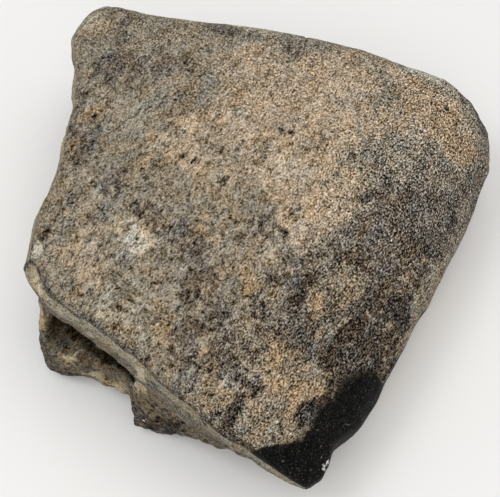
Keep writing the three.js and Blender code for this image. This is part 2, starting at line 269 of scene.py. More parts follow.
# %% List the stains of the outside
# Each stain: x, y, half width, half length, turn in degrees, strength.
STAINS = {
    "tan": [
        (15, 27, 14, 18, -8, 1.0), (38, 49, 16, 6.5, -8, 1.0), (20, 5, 15, 10, 0, 1.0),
        (32, 4, 4.5, 10, 0, 0.9), (-2, 14, 7, 13, 0, 0.75), (29, -5, 5, 5, 0, 0.7),
        (49, 44, 6, 4, 0, 1.0), (-14, 1, 5, 3, 0, 0.6), (41.5, 22, 2.5, 2.5, 0, 0.6),
        (31, -9, 3, 4, 0, 0.7), (8, -22, 8, 7, 0, 0.4), (-12, -42, 9, 6, 0, 0.4),
        (36, 40, 8, 5, 0, 0.7), (-40.5, -8, 2.2, 2.2, 0, 1.0), (6, 40, 12, 5, 8, 0.7),
        (-17, -6, 4, 3, 20, 0.85), (-20, -11, 3, 2, 0, 0.7), (-11, -6, 6, 5, 0, 0.85),
        (-4, 4, 5, 6, 0, 0.4), (3, -7, 8, 5, 0, 0.55), (-10, 29, 8, 9, 0, 0.7),
        (-9, 12, 5, 8, 0, 0.45), (5, -48, 3, 3, 0, 0.4), (36, -20, 3, 4, 0, 0.5),
        (24, -9, 5, 3, -30, 0.5), (45, -44, 9, 9, 0, 0.45), (-17, -47, 9, 6, 0, 0.45),
        (-3, -52, 9, 4, 0, 0.3), (24, -22, 6, 9, 0, 0.4), (-26, 10, 5, 6, 0, 0.35),
        (12, 49, 10, 4, 12, 0.35), (45, -20, 7, 8, 0, 0.25), (19, 15, 2, 2, 0, 1.0),
        (-6, -33, 6, 5, 0, 0.5), (34, -53, 7, 5, 0, 0.3),
    ],
    "charcoal": [
        (43, 12, 5, 9, 0, 0.95), (50, 17, 9, 11, 0, 0.9), (14, 34, 5, 4, 0, 0.3),
        (44, -31, 5, 5, 0, 0.5), (5, -43, 3.5, 5, 0, 0.35), (38, 15, 2.5, 7, 0, 0.95),
        (-33, 15, 4, 4, 0, 0.7), (21, 32, 3, 3, 0, 0.4), (48, 37, 4, 3, 0, 0.5),
        (46, -25, 3, 4, 0, 0.6), (54.5, -36, 2, 6, 0, 0.7), (-18, -18, 3, 3, 0, 0.5),
        (-46, -6, 2.5, 5, 30, 0.7), (57, 0, 3, 6, 0, 0.6), (24, -57, 3, 3, 0, 0.6),
        (42, 59.5, 5, 1.6, -30, 0.7), (32, -60.8, 3, 1.2, 0, 0.8), (46, -2, 8, 6, 0, 0.8),
        (46, 31, 6, 5, 0, 0.3), (54, 12, 5, 5, 0, 0.9), (53, -19, 5, 12, 0, 1.0),
        (52, 0, 6, 8, 0, 0.9), (57, 38, 3, 18, 10, 0.7), (27, 19, 3, 2.5, 0, 0.35),
        (-36, 12, 8, 5, -10, 0.85), (-45, 8, 6, 4, 20, 0.75), (-54, 25, 5, 3.5, 20, 0.8),
        (-24, 37, 8, 3.5, 18, 0.6), (-7, 40, 7, 3, 18, 0.5), (22, 48, 2.5, 4, 0, 0.6),
        (-36, -15, 5, 8, 25, 0.8), (-42, 2, 4, 5, 0, 0.5), (-20, 6, 4, 5, 0, 0.55),
        (-8, -25, 5, 4, 0, 0.75), (5, -27, 6, 6, 0, 0.75), (13, -32, 5, 5, 0, 0.75),
        (16, -39, 5, 4, 0, 0.9), (25, -41, 4, 4, 0, 0.95), (21, -48, 6, 3, 0, 0.75),
        (28, -48, 4, 3, 0, 0.7), (33, -46, 4, 6, 0, 0.5), (36, -33, 10, 6, 0, 0.5),
        (-1, -30, 4, 3, 0, 0.6), (24, -3, 3, 5, 0, 0.45), (22, -16, 4, 4, 0, 0.6),
        (40, -9, 4, 5, 0, 0.55), (38, -25, 5, 4, 0, 0.75), (23, -51, 4, 6, 0, 0.8),
        (40, -51, 4, 6, 0, 0.85), (34, -18, 5, 7, 0, 0.7), (25, -11, 2.5, 2, 0, 0.9),
        (19, -14, 3, 3, 0, 0.8), (-24, 18, 5, 4, 0, 0.5), (-27, -40, 3, 8, 10, 0.6),
        (-26, -31, 5, 3, 0, 0.5), (43, -33, 4, 5, 0, 0.5), (-20, -24, 6, 4, 0, 0.6),
        (22, -53, 3, 5, 0, 0.55), (39, -57, 3, 2.5, 0, 0.7), (31, -60.5, 9, 1.6, 0, 0.7),
        (51, -31, 4, 6, 0, 0.7), (-30, 0, 4, 4, 0, 0.35), (33, 24, 3, 3, 0, 0.4),
        (-49, 18, 4, 8, 20, 0.5), (56, 28, 4, 12, 0, 0.7),
    ],
    "umber": [
        (53, -19, 4, 12, 0, 0.8), (50, -30, 4, 5, 0, 0.6), (47, -6, 5, 4, 0, 0.5),
        (36, -33, 9, 4, 0, 0.4), (38, -20, 3, 5, 0, 0.5), (25, -11, 2, 1.6, 0, 0.8),
        (16, -39, 3, 3, 0, 0.6), (25, -41, 3, 3, 0, 0.6), (55, 12, 4, 4, 0, 0.6),
        (37.5, 14, 2, 6, 0, 0.5), (10.5, 14.5, 2, 2, 0, 0.4), (15, 13, 2, 2, 0, 0.35),
        (8.4, 3.6, 1, 1, 0, 0.6), (27, 19, 2, 2, 0, 0.35), (47, -37, 2, 3, 0, 0.4),
        (25.5, -9, 2.2, 2.2, 0, 0.5), (19, -14, 2, 2, 0, 0.6), (60, -16, 4, 14, 0, 0.8),
        (54.8, -43, 3, 8, 0, 0.95), (56.4, -31, 2.4, 6, -10, 0.8), (53.3, -50, 2, 3, 0, 0.6),
        (63, -24, 3, 6, 0, 0.8), (43, -60, 6.5, 1.8, 0, 1.0), (57, -8, 4, 8, 0, 0.5),
        (58, -22, 3, 8, 0, 0.7), (39, -57, 3, 2.5, 0, 0.6), (57, 30, 3, 12, 5, 0.4),
        (-9, -26, 2, 3, 0, 0.4), (59, 4, 3, 7, 0, 0.6), (41, -10, 3, 4, 0, 0.35),
        (40, -51, 2.5, 4, 0, 0.6), (24, -53, 2.5, 4, 0, 0.6), (38, -25, 3, 3, 0, 0.5),
    ],
    "rust": [
        (14, -49.5, 2.8, 5.5, 0, 1.0), (33, -56, 5, 4, 0, 0.6), (26, -27, 3.5, 4.5, 20, 0.7),
        (47, -53, 6, 4, 0, 0.45), (45, -41, 7, 6, 0, 0.5), (43, -13, 4, 5, 0, 0.35),
        (7, -22, 2.5, 2, 0, 0.8), (8, -12, 3, 4, 0, 0.5), (-40, -8, 2, 3, 0, 0.8),
        (-27, -36, 2.5, 2, 0, 0.9), (22, -21, 4, 3, 0, 0.3), (-20, -47, 8, 5, 0, 0.3),
        (17, -33, 1.5, 4, 0, 0.6), (44, -23, 4, 4, 0, 0.5), (51, 43, 4, 3, 0, 0.5),
        (40, 46, 13, 6, -6, 0.45), (30, 38, 7, 5, 0, 0.35), (57, 5, 3, 10, 0, 0.35),
        (29, -50, 4, 3, 0, 0.5), (51, -46, 2.5, 6, 0, 0.4), (-27, 12, 3, 3, 0, 0.35),
        (-20, -11, 3, 2, 0, 0.4), (9, -44, 3, 2, 0, 0.4), (58, -14, 3, 7, 0, 0.4),
        (6, -16, 3, 4, 0, 0.4),
    ],
    "pale": [
        (-8.6, -34.8, 2.8, 2.2, 20, 0.6), (-9, -34, 5, 4, 0, 0.35), (-5.5, -35, 1.6, 2.4, 0, 0.6),
        (-6, -45, 1.6, 7, 4, 0.35), (2, -54, 8, 3.5, 0, 0.35), (19, 7, 5, 4, 0, 0.3),
        (19, 15, 1.6, 1.4, 0, 0.7), (-3, 14, 4, 3, 0, 0.35), (-11, 20.5, 2.2, 0.9, 0, 0.8),
        (12, 54, 10, 2.5, 12, 0.4), (-30, 0, 8, 3, 40, 0.3), (24.6, -12.4, 2.4, 2, 0, 0.4),
        (-22, 43, 5, 2, 18, 0.6), (-38, 35, 4, 2, 18, 0.6), (-56, 31, 4, 2, 0, 0.5),
        (33, 57, 9, 2, 0, 0.35), (-27.5, -49.5, 2.8, 4.5, 30, 0.85), (33, 3, 3, 4, 0, 0.35),
        (28, 59, 8, 3, 8, 0.8), (-62, 19, 5, 6, 0, 0.4), (-15, 44.5, 6, 2, 18, 0.6),
        (-44, 33.5, 8, 2, 18, 0.5), (14, -52.5, 2, 3, 0, 0.5), (40, -39, 3, 2, 0, 0.3),
        (13, 5, 3, 4, 0, 0.35),
    ],
}
print("stains of the outside:", {kind: len(spots) for kind, spots in STAINS.items()})

# %% [markdown]
# The breaks face every way, so an oval seen from above won't do there. Each of their
# stains is a ball in space, and it colours what it reaches.

# %% List the stains of the breaks
# Each stain: x, y, z, radius, strength.
BREAK_STAINS = {
    "tan": [
        (-21.5, -59.5, 23, 3.5, 0.9), (-21, -61, 16, 3, 0.9), (-10, -60.5, 14.6, 2.5, 0.9),
        (-15, -59.5, 12.8, 2.2, 0.3), (-2, -60.6, 10.5, 3.5, 1.0), (4.5, -60.6, 11, 3.5, 0.9),
        (-14, -62, 12.8, 1.3, 0.3), (-11, -61.8, 12.6, 1.3, 0.8), (-8, -61.5, 10, 1.7, 0.8),
        (-5, -60.8, 9, 1.7, 0.8), (13.6, -61, 31.5, 2.8, 1.0), (13.5, -62, 21.5, 2, 0.35),
        (14, -61.3, 25.2, 2, 0.8), (11.6, -61.5, 24.6, 1.6, 0.6), (8, -61.2, 15, 3, 0.45),
        (-25, -55, 35, 3, 0.2), (2, -60, 33.5, 3, 0.3), (10.5, -61.6, 20, 1.6, 0.4),
        (-50, 2, 30, 9, 0.7), (-36, -32, 16, 8, 0.6), (-58, 18, 14, 8, 0.5),
        (-30, 40, 30, 9, 0.6), (5, 54, 22, 10, 0.6), (30, 60, 18, 8, 0.5), (60, 10, 6, 8, 0.6),
        (61, -20, 5, 7, 0.5),
    ],
    "charcoal": [
        (-17, -63, 6, 4, 0.7), (-11, -62.5, 6, 3.5, 0.6), (16, -63, 8, 7, 0.8),
        (23, -62, 8, 6, 0.8), (17.3, -61, 30.8, 1.5, 0.8), (19.8, -61, 30.6, 1.5, 0.8),
        (22.3, -61.3, 30.4, 1.4, 0.7), (32.4, -61.3, 30.7, 1.5, 0.7), (36, -61.5, 20.5, 2.3, 0.7),
        (38, -61.6, 22, 1.8, 0.8), (41, -61.5, 22.2, 1.6, 0.7), (45, -61, 22, 1.7, 0.8),
        (48.4, -60.6, 20.6, 1.5, 0.6), (51.4, -60.3, 20, 1.6, 0.8), (9.5, -61, 18, 1.4, 0.5),
        (23, -61.8, 20, 2.5, 0.5), (44, 60, 28, 9, 0.6), (52, 55, 24, 9, 0.7),
        (56, 46, 22, 7, 0.7), (-15, -57.5, 38, 2.5, 0.6), (-45, -8, 14, 9, 0.8),
        (-62, 20, 26, 7, 0.7), (-32, -42, 26, 7, 0.7), (-45, 34, 16, 9, 0.8),
        (-14, 46, 10, 9, 0.7), (16, 56, 12, 8, 0.7), (61, -5, 7, 7, 0.6), (60, 35, 6, 8, 0.7),
    ],
    "umber": [
        (19, -63, 8.5, 6, 0.8), (23, -62.5, 14.5, 3.4, 0.8), (15.5, -63.4, 13, 2.5, 0.5),
        (27, -61.3, 14.5, 2.5, 0.5), (-38, -24, 8, 6, 0.6), (-54, 10, 8, 6, 0.6),
        (-50, 30, 30, 5, 0.5), (-4, 51, 30, 5, 0.5), (34, 61, 8, 7, 0.6), (48, 58, 26, 6, 0.3),
    ],
    "rust": [
        (-14, -58.6, 13.5, 2.0, 0.7), (-17.5, -59, 13.5, 1.4, 0.4), (-9, -57.5, 15, 1.8, 0.4),
        (-55, 8, 22, 4, 0.6), (-38, -28, 28, 3, 0.6), (-20, 44, 20, 5, 0.6), (26, 59, 22, 4, 0.6),
    ],
    "pale": [
        (-25.5, -54.5, 37, 2, 0.2), (-21, -55.5, 38, 4, 1.0), (-16, -57.4, 38, 3, 0.55),
        (-3, -59.5, 34.5, 3, 0.45), (-63, 20, 38, 5, 0.35), (13.6, -61, 31.2, 2.5, 1.0),
        (17, -61.5, 24.5, 2, 0.4), (-40, -20, 26, 4, 0.5), (-10, 50, 18, 4, 0.5),
        (20, 58, 28, 3, 0.5), (28.5, -61, 11, 2, 0.4),
    ],
}
# The soil in the marrow hollow, with painted shade under its roof, in the same way.
SOIL_AND_SHADE = [
    (-19, -55, 20, 4, 1.0), (-15, -52.5, 15, 4.5, 1.0), (-10, -52.8, 17, 4.5, 1.0),
    (-6, -53.5, 18, 4.5, 1.0), (-2, -54, 19.5, 4.5, 1.0), (2, -54.8, 21, 4.3, 1.0),
    (6, -56, 22.5, 4, 1.0), (9, -58, 24, 3, 1.0),
]
print("stains of the breaks:", {kind: len(spots) for kind, spots in BREAK_STAINS.items()})

# %% [markdown]
# A spot turns into a value between 0 and 1 for each vertex: 1 in its middle, falling to 0 a
# little outside its border. Noise bends the places first, so that no stain has a clean
# oval border. Its offsets come from a seed, so the stains lie in the same way each time. Where
# spots of one kind overlap, what each leaves bare is multiplied.

# %% Lay out the stains
# Each layer of bending: its reach and its size.
BEND = [(3.6, 11.0), (2.4, 4.6), (1.2, 2.0)]
BEND_SEED = 6
SOIL_SHADE_BEND = 0.5
SOIL_SHADE_FROM = 2
SPOT_BORDER = 1.5
noise.seed_set(BEND_SEED)


def bent(place):
    """Places moved about by layers of noise."""
    moved = place.astype(float)
    for reach, size in BEND:
        for number, point in enumerate(place):
            moved[number] += reach * np.array(noise.noise_vector(Vector(point) / size))
    return moved


def fading(reach):
    inside = np.clip(SPOT_BORDER - reach, 0, 1)
    return inside * inside * (3 - 2 * inside)


def oval(place, spot):
    x, y, half_width, half_length, turn, strength = spot
    angle = math.radians(turn)
    across = place[:, 0] - x
    along = place[:, 1] - y
    u = (across * math.cos(angle) + along * math.sin(angle)) / half_width
    v = (along * math.cos(angle) - across * math.sin(angle)) / half_length
    return strength * fading(np.hypot(u, v))


def ball(place, spot):
    *centre, radius, strength = spot
    return strength * fading(np.linalg.norm(place - np.array(centre), axis=1) / radius)


def covered(place, shape, spots):
    bare = np.ones(len(place))
    for spot in spots:
        bare *= 1 - shape(place, spot)
    return 1 - bare


place = vertex_array(fossil.data, "co", 3) / MM
bent_place = bent(place)
for kind, spots in STAINS.items():
    on_outside = covered(bent_place, oval, spots)
    on_breaks = covered(bent_place, ball, BREAK_STAINS[kind])
    set_attribute(fossil.data, kind, np.where(edge_distance < 0, on_outside, on_breaks))
# The soil of the marrow hollow, darkened with painted shade under its roof.
soil_shade_place = SOIL_SHADE_BEND * (place + bent_place)
set_attribute(fossil.data, "soil", covered(soil_shade_place, ball, SOIL_AND_SHADE) * (edge_distance > SOIL_SHADE_FROM))
print("a stain moves by up to", round(float(np.abs(bent_place - place).max()), 1), "mm")

# %% [markdown]
# The front right corner has a black glaze. It covers what lies to the right of a line, and
# the border is sharp at the front and softer farther back. Down the side it ends in
# tongues, which one layer of noise makes. On the break itself only the side is glazed.

# %% Lay out the glaze
# Where the glaze begins, seen from above, and how wide its border is at each y.
GLAZE_LINE = [
    (36, -62.5), (44, -61.2), (48.3, -60.4), (52.6, -56), (56, -52.1), (56.4, -47), (56.4, -41),
    (57, -36.6), (57.9, -31), (60, -27), (61.8, -24.5), (68, -24),
]
GLAZE_FADE = [(-58, 1.0), (-50, 2.0), (-40, 2.5), (-24, 3.0)]
GLAZE_EDGE = 0.6
FACING_SIDE = 0.5
# The height at which the glaze ends, the reach, size and shift of its tongues, their border.
GLAZE_END = 7
TONGUE_REACH = 12
TONGUE_SIZE = 6.0
TONGUE_SHIFT = 5.0
TONGUE_FADE = 3

glaze_x, glaze_y = np.array(GLAZE_LINE, float).T
past_line = place[:, 0] - np.interp(place[:, 1], glaze_y, glaze_x)
glaze_fade = np.interp(place[:, 1], *np.array(GLAZE_FADE).T)
glaze = np.clip(0.5 + past_line / glaze_fade / 2, 0, 1)
on_side = vertex_array(fossil.data, "normal", 3)[:, 0] > FACING_SIDE
tongues = GLAZE_END + TONGUE_REACH * waves(place, TONGUE_SIZE, TONGUE_SHIFT)
runs_down = np.clip((place[:, 2] - tongues) / TONGUE_FADE, 0, 1) * on_side
set_attribute(fossil.data, "glaze", glaze * np.where(edge_distance > GLAZE_EDGE, runs_down, 1))
print("glazed vertices:", int((glaze > 0.5).sum()))

# %% [markdown]
# The cracks are thin wavering lines, the few large pores are single round holes, and the
# specks are crumbs of white mineral on the glaze and the block. All are distances on the
# surface too, turned into a value between 0 and 1. The relief reads the cracks and pores to
# cut into the mesh, and the material reads them to darken what lies deep as painted shade.

# %% Lay out the cracks, the pores and the specks
# Each crack: its points seen from above, and its half width.
CRACKS = [
    ([(-6, -44.5), (-2, -47.2), (3.9, -48.1), (9.6, -48.3), (15.4, -47.8)], 0.36),
    ([(4.2, -5.2), (4.2, -7.4)], 0.55),
    ([(4.2, -7.2), (4.6, -13.8)], 0.22),
    ([(-50.8, 7.1), (-53.3, 10.9), (-54.4, 14.7), (-53.5, 16.4), (-50.5, 15.8),
      (-46.5, 12.3)], 0.24),
    ([(-38.5, -5.5), (-33, -8.2)], 0.28),
    ([(-5, 49), (-2.8, 45.5)], 0.4),
]
# Each pore: x, y, radius.
PORES = [(-9.5, -6.9, 0.8), (40.2, 51.4, 0.8), (10.3, 16, 0.8), (-12, -21, 0.5),
         (33, -57, 0.6), (25.5, -10.5, 0.8), (14.8, -58, 0.7), (-20, -35, 0.5), (1.5, 6, 0.5)]
# Each pale speck: x, y, z, radius.
SPECKS = [(63, -51.9, 19.7, 0.65), (63.3, -50.6, 19.5, 0.55), (62.5, -52.8, 20, 0.4),
          (63.8, -52.6, 19, 0.4), (14.5, -63.8, 8.5, 0.5), (16.2, -63.8, 7.2, 0.4),
          (18, -63.4, 5.6, 0.4), (15.4, -63.6, 10.6, 0.35)]
CRACK_BORDER = 1.4
PORE_BORDER = 1.5
SPECK_BORDER = 1.8
TOP_BORDER = 1.5
# The reach, size and shift of the noise that makes the cracks waver.
WAVER_REACH = 0.6
WAVER_SIZE = 3.0
WAVER_SHIFT = Vector((7, 3, 1))


def distance_to_line(place, points):
    best = np.full(len(place), np.inf)
    for start, end in zip(points, points[1:]):
        start, end = np.array(start), np.array(end)
        step = end - start
        share = np.clip((place - start) @ step / (step @ step), 0, 1)
        nearest = start + share[:, None] * step
        best = np.minimum(best, np.linalg.norm(place - nearest, axis=1))
    return best


def wavering(place):
    moved = place[:, :2].copy()
    for number, point in enumerate(place):
        push = noise.noise_vector(Vector(point) / WAVER_SIZE + WAVER_SHIFT)
        moved[number] += (WAVER_REACH * push.x, WAVER_REACH * push.y)
    return moved


def deepest(reaches, border):
    """1 near any of the middles, falling to 0 at the border."""
    return np.clip(border - np.min(list(reaches), axis=0), 0, 1)


line_place = wavering(place)
crack = deepest((distance_to_line(line_place, line) / half for line, half in CRACKS), CRACK_BORDER)
pore = deepest((np.hypot(place[:, 0] - x, place[:, 1] - y) / radius for x, y, radius in PORES),
               PORE_BORDER)
speck = deepest((np.linalg.norm(place - np.array(centre), axis=1) / radius
                 for *centre, radius in SPECKS), SPECK_BORDER)
on_top = np.clip(TOP_BORDER - edge_distance, 0, 1)
set_attribute(fossil.data, "speck", speck)
set_attribute(fossil.data, "crack", crack * on_top)
set_attribute(fossil.data, "pore", pore * on_top)
print("cracks:", len(CRACKS), "pores:", len(PORES), "specks:", len(SPECKS))

# %% [markdown]
# ## One way to write node trees
#
# Both the relief and the stone's material are node trees. A small class wraps an output of
# a tree, and sums written on it add Math nodes, so that a formula reads like a formula.
# Every other node comes from one method, which sets the node's options before its inputs.

# %% The wire, on which sums can be written


class Wire:
    """One output in a node tree. Sums on it add Math nodes."""

    def __init__(self, bench, socket):
        self.bench = bench
        self.socket = socket

    def __add__(self, other):
        return self.bench.maths("ADD", self, other)

    __radd__ = __add__

    def __sub__(self, other):
        return self.bench.maths("SUBTRACT", self, other)

    def __rsub__(self, other):
        return self.bench.maths("SUBTRACT", other, self)

    def __mul__(self, other):
        return self.bench.maths("MULTIPLY", self, other)

    __rmul__ = __mul__

    def __rtruediv__(self, other):
        return self.bench.maths("DIVIDE", other, self)

    def at_least(self, other):
        return self.bench.maths("MAXIMUM", self, other)

    def step(self, low, high):
        """Rises smoothly from 0 at low to 1 at high."""
        settings = {"interpolation_type": "SMOOTHSTEP"}
        inputs = {"Value": self, "From Min": low, "From Max": high}
        return self.bench.node("ShaderNodeMapRange", settings, inputs)

    def past(self, middle, fade):
        """Rises smoothly from 0 to 1 across a middle value."""
        return self.step(middle - fade, middle + fade)


print("wires can be added, subtracted and multiplied")

# %% The bench, which adds nodes to a tree


class Bench:
    """Adds nodes to one tree."""

    def __init__(self, tree):
        self.tree = tree

    def node(self, kind, settings=None, inputs=None, output=0):
        made = self.tree.nodes.new(kind)
        for name, value in (settings or {}).items():
            setattr(made, name, value)
        for key, value in (inputs or {}).items():
            self.feed(made.inputs[key], value)
        return Wire(self, made.outputs[output])

    def feed(self, socket, value):
        """Links a wire to an input, or sets the input to a value."""
        if isinstance(value, Wire):
            self.tree.links.new(value.socket, socket)
        elif isinstance(value, tuple) and len(value) == 3 and socket.type == "RGBA":
            socket.default_value = (*value, 1)
        else:
            socket.default_value = value

    def maths(self, operation, *values):
        return self.node("ShaderNodeMath", {"operation": operation}, dict(enumerate(values)))

    def vector(self, operation, *values):
        return self.node("ShaderNodeVectorMath", {"operation": operation}, dict(enumerate(values)))

    def scaled(self, vector, factor):
        inputs = {"Vector": vector, "Scale": factor}
        return self.node("ShaderNodeVectorMath", {"operation": "SCALE"}, inputs)

    def part(self, vector, axis):
        return self.node("ShaderNodeSeparateXYZ", {}, {0: vector}, axis)

    def mix(self, factor, first, second):
        """A colour between two colours."""
        settings = {"data_type": "RGBA"}
        return self.node("ShaderNodeMix", settings, {0: factor, 6: first, 7: second}, 2)

    def clouds(self, place, size, detail, roughness=0.5, distortion=0.0):
        """Soft noise, about 0.5 in the middle, with lumps about `size` metres across."""
        inputs = {"Vector": place, "Scale": 1 / size, "Detail": detail,
                  "Roughness": roughness, "Distortion": distortion}
        return self.node("ShaderNodeTexNoise", {"noise_dimensions": "3D"}, inputs)

    def cells(self, place, size):
        """The distance from the middle of the nearest of many cells."""
        inputs = {"Vector": place, "Scale": 1 / size}
        return self.node("ShaderNodeTexVoronoi", {"feature": "F1"}, inputs, "Distance")


print("bench ready")

# %% [markdown]
# ## Relief: grain on the outside, rough stone on the breaks
#
# The outside of the bone has low lumps and a fine grain, drawn out along the bone. The
# breaks are rougher: the outer wall broke clean, and the inner stone is lumpy. Away from the
# front, the breaks also have larger ledges. The crust stands a little proud of the breaks.
# This follows a rule, so a Geometry Nodes tree makes it. It moves each vertex along its
# normal by a sum of noises, and the distance from the crust's edge says which noise counts.
# The sizes are inputs of the tree, and a seed shifts the noises. At the ground nothing
# moves, so that the piece still rests on it.

# %% Name the sizes of the relief
RELIEF = {
    "Lump height": 0.35 * MM, "Lump size": 11 * MM,
    "Grain height": 0.2 * MM, "Grain size": 2.1 * MM,
    "Wall height": 0.45 * MM, "Wall size": 5 * MM,
    "Rough height": 0.9 * MM, "Rough size": 4.5 * MM,
    "Break height": 1.5 * MM, "Break size": 13 * MM,
    "Crack depth": 0.55 * MM, "Pore depth": 0.9 * MM,
    "Crust step": 0.45 * MM, "Seed": 4.0,
}
BONE_WALL = 11.0
WALL_FADE = 2.0
RELIEF_STRETCH = (1.0, 0.55, 1.0)
# Where each kind of relief begins and is full, in mm from the crust's edge.
OUTSIDE_ENDS = (-1.2, 0.4)
LEDGES_BEGIN = (0.5, 5.0)
CRUST_ENDS = (-0.2, 1.2)
# Where the relief of the breaks behind the front begins, and how high the ground reaches.
BEHIND_FRONT = (-50 * MM, -38 * MM)
OFF_GROUND = (0.0, 2.5 * MM)
ROUGH_BALANCE = 0.4
print("relief inputs:", len(RELIEF))

# %% Build the relief tree


def float_attribute(bench, name):
    settings = {"data_type": "FLOAT"}
    return bench.node("GeometryNodeInputNamedAttribute", settings, {"Name": name})


def relief_rise(bench, given):
    """How far each vertex moves out along its normal."""
    place = bench.node("GeometryNodeInputPosition")
    shifted = bench.vector("ADD", place, given("Seed"))
    drawn_out = bench.vector("MULTIPLY", shifted, RELIEF_STRETCH)
    edge = float_attribute(bench, "edge")

    def layer(kind, vector, detail):
        return given(kind + " height") * (bench.clouds(vector, given(kind + " size"), detail) * 2 - 1)

    on_outside = 1 - edge.step(*OUTSIDE_ENDS)
    in_stone = edge.past(BONE_WALL, WALL_FADE)
    on_wall = (1 - on_outside) * (1 - in_stone)
    skin = layer("Lump", shifted, 1.0) + layer("Grain", drawn_out, 2.0)
    flakes = ROUGH_BALANCE - bench.cells(shifted, given("Rough size"))
    stone = layer("Rough", shifted, 4.0) + given("Rough height") * flakes
    behind = bench.part(place, "Y").step(*BEHIND_FRONT)
    ledges = layer("Break", shifted, 3.0) * behind * edge.step(*LEDGES_BEGIN)
    crust = given("Crust step") * (1 - edge.step(*CRUST_ENDS))
    cracks = given("Crack depth") * float_attribute(bench, "crack")
    pores = given("Pore depth") * float_attribute(bench, "pore")
    rise = on_outside * skin + on_wall * layer("Wall", shifted, 3.0) + in_stone * stone
    return (rise + ledges + crust - cracks - pores) * bench.part(place, "Z").step(*OFF_GROUND)


def relief_tree(sizes, material):
    tree = bpy.data.node_groups.new("stone relief", "GeometryNodeTree")
    tree.interface.new_socket(name="Geometry", in_out="INPUT", socket_type="NodeSocketGeometry")
    identifiers = {}
    for name, value in sizes.items():
        socket = tree.interface.new_socket(name=name, in_out="INPUT", socket_type="NodeSocketFloat")
        socket.default_value = value
        identifiers[name] = socket.identifier
    tree.interface.new_socket(name="Geometry", in_out="OUTPUT", socket_type="NodeSocketGeometry")
    bench = Bench(tree)
    start = tree.nodes.new("NodeGroupInput")
    end = tree.nodes.new("NodeGroupOutput")

    def given(name):
        return Wire(bench, start.outputs[name])

    push = bench.scaled(bench.node("GeometryNodeInputNormal"), relief_rise(bench, given))
    inputs = {"Geometry": given("Geometry"), "Offset": push}
    moved = bench.node("GeometryNodeSetPosition", {}, inputs)
    real = bench.node("GeometryNodeRealizeInstances", {}, {"Geometry": moved})
    dressed = bench.node("GeometryNodeSetMaterial", {}, {"Geometry": real, "Material": material})
    tree.links.new(dressed.socket, end.inputs["Geometry"])
    return tree, identifiers


print("relief tree ready to be built")

# %% [markdown]
# ## The stone
#
# Each kind of stain has one tone on the outside and one on the breaks, and the stains are
# mixed one over the other. Mottles and grains then make the tone lighter or darker by the
# same step in every channel. That is easier to judge in display values, as a picture editor
# shows them, so the sums are done there, and a Gamma node at the end turns the result into
# the linear colour that the renderer needs.

# %% Name the tones


def tone(red, green, blue):
    """A display colour of 0 to 255 as numbers of 0 to 1."""
    return (red / 255, green / 255, blue / 255)


GREY_STONE = tone(136, 126, 109)
STAINED = {"tan": tone(172, 153, 129), "charcoal": tone(105, 96, 85),
           "umber": tone(74, 66, 56), "rust": tone(152, 129, 100), "pale": tone(182, 174, 155)}
RIM_STONE = tone(142, 133, 114)
WALL_STONE = tone(112, 104, 91)
INNER_STONE = tone(104, 94, 79)
BROKEN_STAINED = {"tan": tone(164, 149, 120), "charcoal": tone(84, 78, 74),
                  "umber": tone(58, 53, 48), "rust": tone(140, 112, 84),
                  "pale": tone(172, 162, 140)}
# The dark rim of the crust, with painted shade under its lip.
CRUST_LINE_SHADE = tone(74, 69, 64)
GLAZE_STONE = tone(19, 18, 17)
# Painted highlight: the tone of the few glints on the glaze.
GLAZE_PAINTED_GLINT = tone(128, 124, 118)
# Soil tones of the hollow, darkened as painted shade under its roof, the second more so.
SHADED_SOIL_STONE = tone(66, 56, 41)
SOIL_IN_DEEP_SHADE = tone(34, 29, 22)
# Painted shade: the tone in the depth of cracks and pores.
HOLE_SHADE = tone(34, 30, 26)
SPECK = tone(222, 219, 212)
DARKEST = (0.02, 0.02, 0.02)
DISPLAY_GAMMA = 2.2
print("tones of the stains:", len(STAINED) + len(BROKEN_STAINED))

# %% [markdown]
# The patterns of the stone are a handful of noises. Each is shifted to a place of its own,
# or the noises of one size would have their lumps in the same spots. All are stretched
# along the bone, as its grain is. Pits come from a cell pattern, whose place is wobbled by
# another noise, so that they aren't round.

# %% Make the patterns
GRAIN_STRETCH = (1.0, 0.6, 1.0)
# Each noise: its shift in mm, then its size, detail, roughness and distortion.
NOISES = {
    "mottle": ((0, 0, 0), 5 * MM, 3.0, 1.0, 0.5),
    "grain": ((40, 0, 9), 0.4 * MM, 1.0, 0.8, 0.0),
    "warm": ((0, 70, 5), 5 * MM, 3.0, 0.7, 0.0),
    "flecks": ((30, 20, 10), 1.7 * MM, 4.0, 0.75, 0.0),
    # The next noise places the painted highlights on the glaze.
    "sparks": ((20, 60, 30), 0.7 * MM, 0.0, 0.5, 0.0),
}
# Each cell pattern: its shift in mm and its size.
CELLS = {"pits": ((9, 9, 0), 1.1 * MM), "sponge": ((5, 3, 8), 2.4 * MM)}
WOBBLE_SIZE = 1.5 * MM
WOBBLE_REACH = (1.4 * MM, 1.4 * MM, 1.4 * MM)
# Where the round shoulder and the far end begin and are full.
SHOULDER_ZONE = (15 * MM, 45 * MM)
FAR_ZONE = (-20 * MM, 35 * MM)


